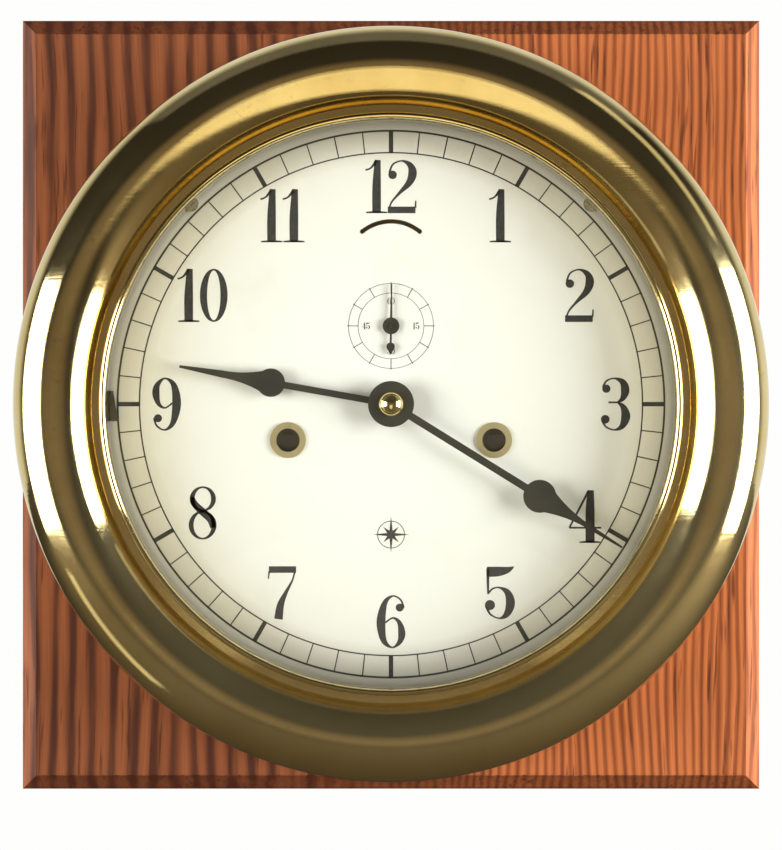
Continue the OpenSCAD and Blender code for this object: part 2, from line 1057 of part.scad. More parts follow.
module balance_staff() {
    color("silver")
        translate(balance_at) {
            rod(fine_pivot_r, 42.2, 44.8);
            rod(0.6, 44.8, front_z - shake);
            rod(1.8, escape_z + 1.1, escape_z + 1.8);
            rod(fine_pivot_r, front_z - shake, front_top - 0.4);
        }
}

module hairspring() {
    thick = 0.15;
    inner = spiral(0.9, 6.2, 6, 16);
    outer = [for (p = inner) p + thick * unit(p)];
    last = len(inner) - 1;
    color("steelblue")
        translate(balance_at)
            sheet(spring_z, spring_z + 0.8)
                polygon(concat(inner, [for (i = [last : -1 : 0]) outer[i]]));
}

module balance_cock() {
    foot = [14, 62];
    color("khaki")
        difference() {
            union() {
                translate(foot)
                    rod(4, inner_z, 42);
                sheet(42, 44.4)
                    bar(foot, balance_at, 6);
            }
            translate(balance_at)
                rod(fine_pivot_r + run, 41, 46);
        }
}

// The regulator: a ring on the front plate's boss, an arm, and a tip that comes through the dial
module regulator() {
    low = front_top + 0.2;
    color("silver")
        translate(balance_at)
            rotate(-17) {
                difference() {
                    sheet(low, low + 1) {
                        circle(r = 4.6);
                        bar([0, 0], [0, slot_r], 2);
                    }
                    rod(3 + run, low - 1, low + 2);
                }
                translate([0, slot_r])
                    rod(0.5, low, dial_z + 1.2);
                translate([0, 7])
                    rod(0.25, spring_z + 0.1, low + 0.5);
            }
}

// The cannon pinion on the centre arbor, with the seat of the minute hand
module cannon_pinion() {
    color("silver")
        difference() {
            union() {
                pinion(centre_at, gap_turn(minute_at, centre_at, cannon_leaves), motion_m,
                    cannon_leaves, cannon_z, hour_z - 0.6);
                rod(cannon_r, hour_z - 0.6, minute_hand_z - 0.1);
                rod(minute_seat_r, minute_hand_z - 0.1, minute_hand_z + hand_t);
            }
            rod(centre_r + seat, 0, far);
        }
}

module minute_wheel() {
    color("gold")
        difference() {
            union() {
                pinion(minute_at, tooth_turn(minute_at, centre_at), motion_m, minute_teeth,
                    minute_z, minute_z + wheel_t);
                pinion(minute_at, tooth_turn(minute_at, centre_at), hour_m, minute_leaves,
                    minute_z + wheel_t, hour_z + 1.2);
            }
            translate(minute_at)
                rod(1.5 + run, 0, far);
        }
}

module hour_wheel() {
    color("gold")
        difference() {
            union() {
                pinion(centre_at, gap_turn(minute_at, centre_at, hour_teeth), hour_m, hour_teeth,
                    hour_z, hour_z + wheel_t);
                rod(pipe_r + 0.5, hour_z, hour_hand_z - 0.1);
                rod(pipe_r, hour_hand_z - 0.1, hour_hand_z + hand_t);
            }
            rod(cannon_r + 0.1, 0, far);
        }
}

// The strike train's second wheel, with eight pins that lift the hammer's tail
module pin_wheel() {
    color("gold") {
        wheel(pin_at, tooth_turn(pin_at, strike_third_at), pin_m, pin_teeth, arbor_r + seat,
            third_z, wheel_t, 4.5, 3.6);
        for (i = [0 : 7])
            translate(pin_at + 19 * dir(45 * i))
                rod(0.5, third_z - 2.6, third_z + wheel_t / 2);
    }
}

module pin_wheel_arbor() {
    color("silver") {
        arbor(pin_at, arbor_r, pivot_r);
        pinion(pin_at, gap_turn(strike_at, pin_at, centre_leaves), great_m, centre_leaves,
            strike_wheel_z - 0.8, strike_wheel_z + great_t + 0.8);
    }
}

module strike_third_wheel() {
    color("gold") {
        arbor(strike_third_at, arbor_r, pivot_r);
        pinion(strike_third_at, gap_turn(pin_at, strike_third_at, strike_leaves), pin_m,
            strike_leaves, third_z - 0.4, third_z + wheel_t + 0.4);
        wheel(strike_third_at, tooth_turn(strike_third_at, fly_at), strike_m, strike_teeth,
            arbor_r - 0.2, fourth_z, wheel_t, 3.6);
    }
}

module fly() {
    color("silver") {
        arbor(fly_at, fine_arbor_r, pivot_r);
        pinion(fly_at, gap_turn(strike_third_at, fly_at, strike_leaves), strike_m, strike_leaves,
            fourth_z - 0.4, fourth_z + wheel_t + 0.4);
        translate([fly_at[0] - 8, fly_at[1] - 0.3, 47])
            cube([16, 0.6, 6]);
    }
}

// The hammer: an arbor, a tail that the pins lift, and a head beside the gong
module hammer() {
    head = [-19.8, 4.4];
    tail = (norm(pin_at - hammer_at) - 20.9) * unit(pin_at - hammer_at);
    color("silver") {
        arbor(hammer_at, 1.4, pivot_r);
        translate(hammer_at) {
            sheet(third_z - 2.4, third_z - 0.9)
                bar([0, 0], tail, 1.4);
            sheet(gong_z - 1, gong_z + 1)
                bar([0, 0], head, 2.4);
            translate(head)
                rod(3.5, gong_z - 5, gong_z + 5);
        }
    }
}

module gong() {
    color("steelblue")
        rotate(272.5)
            rotate_extrude(angle = 325)
                translate([gong_at, gong_z])
                    circle(r = gong_r);
}

module gong_post() {
    color("khaki")
        translate([-4, -gong_at - 4, board_t + 2])
            cube([8, 8, gong_z + 3 - board_t - 2]);
}

in_place() {
    board();
    hanger_plate();
    hanger_screws();
    case();
    case_screws();
    bezel();
    glass();
    glass_retainer();
    case_hinge_leaf();
    bezel_hinge_leaf();
    hinge_pin();
    catch_tongue();
    dial();
    dial_screws();
    dial_edge_piece();
    winding_grommets();
    hour_hand();
    minute_hand();
    seconds_hand();
    hand_nut();
    front_plate();
    back_plate();
    plate_pillars();
    plate_screws();
    movement_posts();
    time_barrel();
    time_barrel_cap();
    time_mainspring();
    time_winding_arbor();
    time_ratchet();
    clicks();
    centre_arbor();
    centre_wheel();
    third_arbor();
    third_wheel();
    fourth_arbor();
    fourth_wheel();
    escape_arbor();
    escape_wheel();
    pallet_lever();
    balance_wheel();
    balance_staff();
    hairspring();
    balance_cock();
    regulator();
    cannon_pinion();
    minute_wheel();
    hour_wheel();
    strike_barrel();
    strike_barrel_cap();
    strike_mainspring();
    strike_winding_arbor();
    strike_ratchet();
    pin_wheel();
    pin_wheel_arbor();
    strike_third_wheel();
    fly();
    hammer();
    gong();
    gong_post();
}
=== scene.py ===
"""A ship's deck clock on an oak board: materials, dial printing, camera and light over the CAD frame."""

import json
import math

import bmesh
import bpy
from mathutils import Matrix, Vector


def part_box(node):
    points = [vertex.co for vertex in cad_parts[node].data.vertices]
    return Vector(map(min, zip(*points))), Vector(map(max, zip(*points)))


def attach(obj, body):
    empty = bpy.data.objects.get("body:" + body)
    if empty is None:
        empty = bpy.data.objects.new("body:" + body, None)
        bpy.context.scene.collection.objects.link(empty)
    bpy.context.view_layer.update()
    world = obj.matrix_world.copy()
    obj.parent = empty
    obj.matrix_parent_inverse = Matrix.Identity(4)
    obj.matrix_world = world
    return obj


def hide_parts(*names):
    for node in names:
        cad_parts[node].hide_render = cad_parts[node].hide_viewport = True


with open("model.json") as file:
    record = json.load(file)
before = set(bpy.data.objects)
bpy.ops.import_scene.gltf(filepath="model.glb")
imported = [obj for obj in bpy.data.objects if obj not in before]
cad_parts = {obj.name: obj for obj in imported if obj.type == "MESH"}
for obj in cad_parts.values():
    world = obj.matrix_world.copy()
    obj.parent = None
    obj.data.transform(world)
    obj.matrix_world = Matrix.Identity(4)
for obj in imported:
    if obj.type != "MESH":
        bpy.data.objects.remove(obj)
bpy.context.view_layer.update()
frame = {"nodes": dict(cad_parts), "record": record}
NODES = frame["nodes"]
MM = 0.001

# Dial, measured from its centre, in millimetres
# SHADE_R: where the painted shade at the dial's rim is darkest
SHADE_R = 112.0
OPENING_R = 108.0
TRACK_OUT = 104.8
TRACK_IN = 96.4
NUMERAL_R = 83.4
WIDE_NUMERAL_R = 86.0
NUMERAL_H = 20.4
OUTER_LINE = 0.38
INNER_LINE = 0.25
HOUR_MARK_W = 1.7
MINUTE_MARK_W = 0.45
SECONDS_AT = (0, 30.0)
SECONDS_OUT = 16.3
SECONDS_IN = 12.6
SECONDS_LINE = 0.1
SECONDS_MARK_PAST = 0.5
SECONDS_MARK_W = 0.3
SECONDS_NUMERAL_R = 9.6
SECONDS_NUMERAL_H = 2.6
STAR_DROP = 50.0
STAR_LONG = 7.0
STAR_SHORT = 4.2
STAR_WAIST = 1.6
STAR_RING_IN = 5.0
STAR_RING_OUT = 5.3
PRINT_LIFT = 0.04

# Places taken from the CAD
DIAL_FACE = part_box("dial")[0][1]
BOARD_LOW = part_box("board")[0]

# Bezel, in millimetres from the axis and from the board's back
CREST_AT = 128.7
CREST_Z = 93.1
OUTER_ROLL_R = 15.1
INNER_ROLL_R = 18.3
ROLL_T = 2.8
REBATE_R = 112.92
BEZEL_BACK = 72.3
WEB_Z = 83.8
WEB_T = 1.0
LIP_W = 2.4
LIP_Z = 88.8

# Camera and stage, in metres
CAMERA_AWAY = 1.65
CAMERA_DROP = 0.008
FOCAL_PX = 4132.0
IMAGE_W = 782
SENSOR = 36.0
FLOOR_DROP = 0.3
FLOOR_R = 2.2

# Lamps: each soft box has a name, a side, a distance in front, a drop, a width and a power
SOFT_BOXES = (("left_box", -1, 0.9, 0.15, 1.6, 57), ("right_box", 1, 0.68, 0.1, 1.15, 65))
BOX_AWAY = 1.25
BOX_H = 1.2
BOX_WHITE = (1.0, 0.995, 0.98)
CARD_AMBER = (1.0, 0.85, 0.55)
CARD_CREAM = (1.0, 0.93, 0.7)

# Shades of the room, from straight in front of the clock to straight behind it
ROOM_SHADES = [
    (0.0, (0.2, 0.15, 0.1)), (0.04, (0.16, 0.12, 0.075)), (0.1, (0.025, 0.021, 0.017)),
    (0.56, (0.025, 0.021, 0.017)), (0.7, (0.75, 0.74, 0.7)), (1.0, (0.9, 0.9, 0.88)),
]
STEEP_FADE = 0.6
BACKDROP = (0.99, 0.99, 0.985, 1.0)


# ---------------------------------------------------------------- materials


class Tree:
    """The node tree of a material or of the world, with short ways to add and join nodes."""

    def __init__(self, owner, output):
        owner.use_nodes = True
        self.nodes = owner.node_tree.nodes
        self.links = owner.node_tree.links
        self.nodes.clear()
        self.output = self.add(output)

    def add(self, kind, **settings):
        node = self.nodes.new(kind)
        for key, value in settings.items():
            setattr(node, key, value)
        return node

    def join(self, out, into):
        self.links.new(out, into)

    def split(self, vector):
        """The X, Y and Z of a vector."""
        axes = self.add("ShaderNodeSeparateXYZ")
        self.join(vector, axes.inputs[0])
        return axes.outputs

    def place(self, scale=(1, 1, 1)):
        """Coordinates in the frame's metres, stretched by scale."""
        source = self.add("ShaderNodeTexCoord")
        return self.stretched(source.outputs["Object"], scale)

    def noise(self, vector, scale, detail=4.0, roughness=0.5, distortion=0.0):
        node = self.add("ShaderNodeTexNoise")
        node.inputs["Scale"].default_value = scale
        node.inputs["Detail"].default_value = detail
        node.inputs["Roughness"].default_value = roughness
        node.inputs["Distortion"].default_value = distortion
        self.join(vector, node.inputs["Vector"])
        return node.outputs["Fac"]

    def stretched(self, vector, scale):
        """Coordinates scaled along each axis, so that a pattern runs along the axis with the small scale."""
        node = self.add("ShaderNodeMapping")
        node.inputs["Scale"].default_value = scale
        self.join(vector, node.inputs["Vector"])
        return node.outputs[0]

    def bands(self, vector, scale, distortion):
        """Wavy stripes across X; at scale 1 they are 0.31 m apart."""
        node = self.add("ShaderNodeTexWave", wave_type="BANDS", bands_direction="X")
        node.inputs["Scale"].default_value = scale
        node.inputs["Distortion"].default_value = distortion
        node.inputs["Detail"].default_value = 3.0
        node.inputs["Detail Scale"].default_value = 1.5
        self.join(vector, node.inputs["Vector"])
        return node.outputs["Fac"]

    def blend(self, factor, one, other):
        """Two shaders mixed into the output."""
        both = self.add("ShaderNodeMixShader")
        for socket, out in enumerate((factor, one, other)):
            self.join(out, both.inputs[socket])
        self.join(both.outputs[0], self.output.inputs[0])

    def for_camera(self, seen, other):
        """One shader for what the camera sees, and another for light and reflections."""
        path = self.add("ShaderNodeLightPath")
        self.blend(path.outputs["Is Camera Ray"], other, seen)

    def ramp(self, factor, stops):
        """A colour ramp through (place, colour) stops."""
        node = self.add("ShaderNodeValToRGB")
        elements = node.color_ramp.elements
        while len(elements) < len(stops):
            elements.new(0.5)
        for element, (at, colour) in zip(elements, stops):
            element.position = at
            element.color = (*colour, 1.0)
        self.join(factor, node.inputs[0])
        return node.outputs[0]

    def spread(self, factor, low, high, start=0.0, end=1.0):
        """A value that runs from low to high as factor runs from start to end."""
        node = self.add("ShaderNodeMapRange")
        node.inputs["From Min"].default_value = start
        node.inputs["From Max"].default_value = end
        node.inputs["To Min"].default_value = low
        node.inputs["To Max"].default_value = high
        self.join(factor, node.inputs["Value"])
        return node.outputs[0]

    def mix(self, factor, one, other):
        node = self.add("ShaderNodeMix", data_type="RGBA")
        for socket, value in zip((0, 6, 7), (factor, one, other)):
            if hasattr(value, "is_output"):
                self.join(value, node.inputs[socket])
            else:
                node.inputs[socket].default_value = value
        return node.outputs[2]

    def maths(self, operation, one, other):
        node = self.add("ShaderNodeMath", operation=operation)
        for socket, value in enumerate((one, other)):
            if hasattr(value, "is_output"):
                self.join(value, node.inputs[socket])
            else:
                node.inputs[socket].default_value = value
        return node.outputs[0]

    def from_axis(self):
        """Distance in metres from the dial's axis."""
        length = self.add("ShaderNodeVectorMath", operation="LENGTH")
        self.join(self.place((1, 0, 1)), length.inputs[0])
        return length.outputs["Value"]


class Shader(Tree):
    """The node tree of a new material."""

    def __init__(self, name):
        self.material = bpy.data.materials.new(name)
        super().__init__(self.material, "ShaderNodeOutputMaterial")

    def principled(self, **inputs):
        shader = self.add("ShaderNodeBsdfPrincipled")
        for key, value in inputs.items():
            shader.inputs[key.replace("_", " ")].default_value = value
        self.join(shader.outputs[0], self.output.inputs[0])
        return shader

    def bump(self, shader, height, strength, distance):
        node = self.add("ShaderNodeBump")
        node.inputs["Strength"].default_value = strength
        node.inputs["Distance"].default_value = distance
        self.join(height, node.inputs["Height"])
        self.join(node.outputs[0], shader.inputs["Normal"])


def add_haze(s, shader, colour, where, cloud, haze):
    """A dull haze over polished metal, thicker towards the lower right."""
    dull = s.add("ShaderNodeBsdfAnisotropic")
    dull.inputs["Roughness"].default_value = 0.62
    dull.inputs["Color"].default_value = (*colour, 1.0)
    axes = s.split(where)
    slope = s.maths("SUBTRACT", s.maths("MULTIPLY", axes["X"], 0.4), axes["Z"])
    uneven = s.maths("ADD", slope, s.maths("MULTIPLY", cloud, 0.06))
    s.blend(s.spread(uneven, 0.15 * haze, haze, -0.02, 0.16), shader.outputs[0], dull.outputs[0])


def brass(name, deep, bright, rough_low, rough_high, haze=0.0):
    """Brass with cloudy tarnish, lathe lines, hairline scratches and, where asked, a haze."""
    s = Shader(name)
    shader = s.principled(Metallic=1.0)
    where = s.place()
    cloud = s.noise(where, 22.0, 6.0, 0.6)
    spots = s.noise(where, 190.0, 3.0, 0.7)
    tone = s.ramp(cloud, [(0.3, deep), (0.7, bright)])
    spotted = s.mix(s.spread(spots, 0.0, 0.35, 0.62, 0.78), tone, (*(0.55 * c for c in deep), 1.0))
    s.join(spotted, shader.inputs["Base Color"])
    patches = s.noise(where, 60.0, 5.0, 0.65)
    s.join(s.spread(patches, rough_low, rough_high, 0.3, 0.75), shader.inputs["Roughness"])
    lines = s.add("ShaderNodeTexWave", wave_type="RINGS", rings_direction="Y")
    lines.inputs["Scale"].default_value = 900.0
    lines.inputs["Distortion"].default_value = 1.5
    s.join(where, lines.inputs["Vector"])
    hair = s.noise(s.place((40, 40, 900)), 1.0, 2.0, 0.5, 0.6)
    s.bump(shader, s.maths("ADD", lines.outputs["Fac"], s.maths("MULTIPLY", hair, 2.0)), 0.035, 0.0002)
    add_haze(s, shader, bright, where, cloud, haze)
    return s.material


def steel(name, colour, rough):
    """Turned or drawn steel with a fine directional grain."""
    s = Shader(name)
    shader = s.principled(Metallic=1.0)
    grain = s.noise(s.place((60, 900, 60)), 1.0, 3.0, 0.6)
    cloud = s.noise(s.place(), 70.0, 4.0)
    dark = (*(0.7 * c for c in colour), 1.0)
    s.join(s.mix(cloud, dark, (*colour, 1.0)), shader.inputs["Base Color"])
    s.join(s.spread(grain, rough * 0.7, rough * 1.4), shader.inputs["Roughness"])
    s.bump(shader, grain, 0.08, 0.0002)
    return s.material


def blued(name):
    """Dark blued steel: nearly black, with a faint brown bloom and a satin polish."""
    s = Shader(name)
    shader = s.principled(Metallic=0.3)
    bloom = s.noise(s.place(), 60.0, 4.0)
    tints = [(0.35, (0.042, 0.04, 0.034)), (0.55, (0.058, 0.053, 0.041)), (0.75, (0.075, 0.064, 0.046))]
    colour = s.ramp(bloom, tints)
    s.join(colour, shader.inputs["Base Color"])
    fine = s.noise(s.place((500, 500, 500)), 1.0, 3.0)
    s.join(s.spread(fine, 0.28, 0.45), shader.inputs["Roughness"])
    s.bump(shader, fine, 0.05, 0.0002)
    return s.material


def oak_staves(s, bent):
    """Broad dark streaks on the left stave and fine lines on the right one, with an uneven seam."""
    clumps = s.noise(s.stretched(bent, (1.0, 1.0, 0.06)), 150.0, 3.0, 0.6)
    broad = s.bands(s.stretched(bent, (1.0, 1.0, 0.1)), 40.0, 2.2)
    streak = s.maths("ADD", s.maths("MULTIPLY", broad, 0.4), s.maths("MULTIPLY", clumps, 0.9))
    left = s.ramp(streak, [(0.42, (0.065, 0.022, 0.013)), (0.54, (0.13, 0.042, 0.02)),
                           (0.64, (0.23, 0.07, 0.027)), (0.85, (0.3, 0.096, 0.037))])
    narrow = s.bands(s.stretched(bent, (1.0, 1.0, 0.08)), 92.0, 1.4)
    fine = s.maths("ADD", s.maths("MULTIPLY", narrow, 0.45), s.maths("MULTIPLY", clumps, 0.55))
    right = s.ramp(fine, [(0.22, (0.2, 0.051, 0.018)), (0.42, (0.38, 0.104, 0.033)),
                          (0.68, (0.55, 0.168, 0.053))])
    seam = s.maths("ADD", s.split(s.place())["X"], s.maths("MULTIPLY", clumps, 0.05))
    return s.mix(s.spread(seam, 0.0, 1.0, -0.03, 0.07), left, right)


def oak(name):
    """Stained oak with its grain upright, its pores dark, and painted shade on the faces that look up or
    down.
    """
    s = Shader(name)
    shader = s.principled(Specular_IOR_Level=0.15)
    wavy = s.noise(s.place((1, 1, 0.35)), 16.0, 2.0)
    bend = s.add("ShaderNodeVectorMath", operation="MULTIPLY_ADD")
    s.join(wavy, bend.inputs[0])
    bend.inputs[1].default_value = (0.016, 0.0, 0.0)
    s.join(s.place(), bend.inputs[2])
    bent = bend.outputs[0]
    fibres = s.noise(s.stretched(bent, (1.0, 1.0, 0.02)), 1100.0, 3.0, 0.6)
    pores = s.noise(s.stretched(bent, (1.0, 1.0, 0.05)), 620.0, 2.0, 0.5)
    lined = s.mix(s.spread(pores, 0.0, 0.75, 0.6, 0.7), oak_staves(s, bent), (0.06, 0.017, 0.008, 1.0))
    fibred = s.mix(s.spread(fibres, 0.0, 0.45, 0.35, 0.75), lined, (0.1, 0.028, 0.011, 1.0))
    # Painted shade: faces that look up or down, such as the top and bottom bevels, are darkened
    geometry = s.add("ShaderNodeNewGeometry")
    up_down_painted_shade = s.maths("ABSOLUTE", s.split(geometry.outputs["True Normal"])["Z"], 0.0)
    coloured = s.mix(s.spread(up_down_painted_shade, 0.0, 0.7, 0.2, 0.8), fibred, (0.075, 0.018, 0.009, 1.0))
    s.join(coloured, shader.inputs["Base Color"])
    s.join(s.spread(fibres, 0.45, 0.65), shader.inputs["Roughness"])
    s.bump(shader, s.maths("SUBTRACT", fibres, pores), 0.15, 0.0003)
    return s.material


def silvered(name):
    """A silvered dial under lacquer: warm white in the middle, with painted shade from the minute track
    outwards, where the bezel's lip shades it.
    """
    s = Shader(name)
    shader = s.principled(Specular_IOR_Level=0.3)
    # Painted shade: the ramp greys the dial from the minute track out to SHADE_R, as the bezel's lip shades
    # it
    shade = s.ramp(s.spread(s.from_axis(), 0.0, 1.0, 0.0, SHADE_R * MM),
                   [(0.0, (0.88, 0.875, 0.83)), (0.82, (0.87, 0.86, 0.8)), (0.88, (0.68, 0.655, 0.585)),
                    (0.95, (0.46, 0.44, 0.39)), (1.0, (0.33, 0.31, 0.27))])
    blotch = s.noise(s.place(), 30.0, 6.0, 0.65)
    stained = s.mix(s.spread(blotch, 0.0, 0.3, 0.55, 0.85), shade, (0.62, 0.56, 0.42, 1.0))
    s.join(stained, shader.inputs["Base Color"])
    grain = s.noise(s.place((700, 40, 60)), 1.0, 3.0, 0.6)
    s.join(s.spread(grain, 0.42, 0.6), shader.inputs["Roughness"])
    s.bump(shader, grain, 0.06, 0.0002)
    return s.material


def wax_black(name):
    """Black wax in the dial's engraving, a little worn."""
    s = Shader(name)
    shader = s.principled(Roughness=0.6)
    worn = s.noise(s.place(), 900.0, 3.0, 0.6)
    colour = s.ramp(worn, [(0.3, (0.02, 0.02, 0.018)), (0.75, (0.05, 0.048, 0.043))])
    s.join(colour, shader.inputs["Base Color"])
    s.bump(shader, worn, 0.1, 0.0001)
    return s.material


def clear_glass(name):
    """Clock glass: clear, with a faint reflection on its outer side that grows at a slant."""
    s = Shader(name)
    clear = s.add("ShaderNodeBsdfTransparent")
    clear.inputs[0].default_value = (0.97, 0.98, 0.97, 1.0)
    gloss = s.add("ShaderNodeBsdfGlossy")
    smear = s.noise(s.place(), 40.0, 4.0, 0.6)
    s.join(s.spread(smear, 0.0, 0.06, 0.45, 0.8), gloss.inputs["Roughness"])
    fresnel = s.add("ShaderNodeFresnel")
    fresnel.inputs["IOR"].default_value = 1.35
    sides = s.add("ShaderNodeNewGeometry")
    front = s.maths("SUBTRACT", 1.0, sides.outputs["Backfacing"])
    s.blend(s.maths("MULTIPLY", fresnel.outputs[0], front), clear.outputs[0], gloss.outputs[0])
    return s.material


def paper(name):
    """Pale studio paper. Light and reflections meet it as a dim, warm surface."""
    s = Shader(name)
    shader = s.principled(Roughness=0.9, Emission_Strength=0.9)
    mottle = s.noise(s.place(), 6.0, 4.0)
    pale = s.mix(mottle, (0.84, 0.84, 0.83, 1.0), (0.87, 0.87, 0.86, 1.0))
    s.join(pale, shader.inputs["Base Color"])
    s.join(pale, shader.inputs["Emission Color"])
    room = s.add("ShaderNodeBsdfDiffuse")
    room.inputs["Color"].default_value = (0.07, 0.052, 0.03, 1.0)
    s.for_camera(shader.outputs[0], room.outputs[0])
    return s.material


POLISHED = brass("polished_brass", (0.70, 0.56, 0.25), (0.86, 0.73, 0.38), 0.06, 0.13, 0.07)
SATIN_BRASS = brass("satin_brass", (0.62, 0.52, 0.3), (0.8, 0.7, 0.44), 0.3, 0.4, 0.8)
# The movement brass is tarnished and, as painted shade, darker still, so that the winding holes look dark
# inside
PLATE_BRASS_WITH_HOLE_SHADE = brass("movement_brass", (0.30, 0.22, 0.10), (0.46, 0.35, 0.17), 0.3, 0.45)
# All steel is darkened as painted shade, so that the winding arbors look dark down their holes
STEEL = steel("steel", (0.2, 0.2, 0.195), 0.3)
BRIGHT_STEEL = steel("bright_steel", (0.75, 0.75, 0.72), 0.22)
BLUED = blued("blued_steel")
OAK = oak("oak")
DIAL = silvered("silvered_dial")
INK = wax_black("dial_black")
GLASS = clear_glass("glass")
BY_SLOT = {
    "polished_brass": POLISHED,
    "movement_brass": PLATE_BRASS_WITH_HOLE_SHADE,
    "steel": STEEL,
    "blued_steel": BLUED,
    "oak": OAK,
    "glass": GLASS,
    "silvered_dial": DIAL,
}
BY_NODE = {"winding_grommets": SATIN_BRASS, "dial_screws": BRIGHT_STEEL}


def dress_nodes():
    """Give every CAD node its own material, or that of its slot."""
    for part in frame["record"]["subparts"]:
        node = NODES[part["node"]]
        node.data.materials.clear()
        node.data.materials.append(BY_NODE.get(part["node"], BY_SLOT[part["material_slot"]]))


# ---------------------------------------------------------------- mesh pieces


def piece(name, mesh, material, body):
    """A finished mesh as a piece that rides on a body."""
    obj = bpy.data.objects.new(name, mesh)
    bpy.context.collection.objects.link(obj)
    obj.data.materials.append(material)
    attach(obj, body)
    return obj


def lathe(name, profile, steps=360):
    """A closed outline of (radius, height) points, in millimetres, turned round the dial's axis."""
    bm = bmesh.new()
    rings = []
    for i in range(steps):
        a = 2 * math.pi * i / steps
        x, up = MM * math.sin(a), MM * math.cos(a)
        rings.append([bm.verts.new((r * x, -z * MM, r * up)) for r, z in profile])
    for i, ring in enumerate(rings):
        after = rings[(i + 1) % steps]
        for j in range(len(profile)):
            k = (j + 1) % len(profile)
            bm.faces.new((ring[j], ring[k], after[k], after[j]))
    bmesh.ops.recalc_face_normals(bm, faces=bm.faces)
    mesh = bpy.data.meshes.new(name)
    bm.to_mesh(mesh)
    bm.free()
    mesh.shade_smooth()
    mesh.set_sharp_from_angle(angle=math.radians(35))
    return mesh


def arc(centre, radius, start, end, steps):
    """Points along an arc in a lathe outline, in degrees from outwards towards the viewer."""
    angles = [math.radians(start + (end - start) * i / steps) for i in range(steps + 1)]
    return [(centre[0] + radius * math.cos(a), centre[1] + radius * math.sin(a)) for a in angles]


def height_angle(centre, radius, z):
    """The angle at which an arc about centre reaches height z, on its outer side."""
    return math.degrees(math.asin((z - centre[1]) / radius))


def bezel_outline():
    """The bezel across: the rounded ring, the groove, the lip, the rebate, and the hollow behind."""
    outer = (CREST_AT, CREST_Z - OUTER_ROLL_R)
    inner = (CREST_AT, CREST_Z - INNER_ROLL_R)
    lip = (OPENING_R + LIP_W / 2, LIP_Z)
    web_top = WEB_Z + WEB_T
    inner_hollow = INNER_ROLL_R - ROLL_T
    outer_hollow = OUTER_ROLL_R - ROLL_T
    hollow_side = REBATE_R + ROLL_T
    hollow_start = math.degrees(math.acos((hollow_side - CREST_AT) / inner_hollow))
    outline = arc(outer, OUTER_ROLL_R, height_angle(outer, OUTER_ROLL_R, BEZEL_BACK), 90, 40)
    outline += arc(inner, INNER_ROLL_R, 90, 180 - height_angle(inner, INNER_ROLL_R, web_top), 40)[1:]
    outline += [(OPENING_R + LIP_W, web_top)]
    outline += arc(lip, LIP_W / 2, 0, 180, 10)
    outline += [(OPENING_R, WEB_Z), (REBATE_R, WEB_Z), (REBATE_R, BEZEL_BACK), (hollow_side, BEZEL_BACK)]
    outline += arc(inner, inner_hollow, hollow_start, 90, 24)
    outline += arc(outer, outer_hollow, 90, height_angle(outer, outer_hollow, BEZEL_BACK), 24)[1:]
    return outline


def turned_bezel():
    """The bezel again as a smooth turned ring, so that its reflections run true."""
    bezel = piece("bezel_ring", lathe("bezel_ring", bezel_outline()), POLISHED, "door")
    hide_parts("bezel")


# ---------------------------------------------------------------- dial printing


def curve_through(points, steps=10):
    """A smooth line through (x, y, half width) points."""
    ends = [points[0], *points, points[-1]]
    line = []
    for a, b, c, d in zip(ends, ends[1:], ends[2:], ends[3:]):
        for i in range(steps):
            t = i / steps
            line.append(tuple(
                0.5 * (2 * q + (r - p) * t + (2 * p - 5 * q + 4 * r - s) * t ** 2
                       + (3 * q - p - 3 * r + s) * t ** 3)
                for p, q, r, s in zip(a, b, c, d)))
    return [*line, points[-1]]


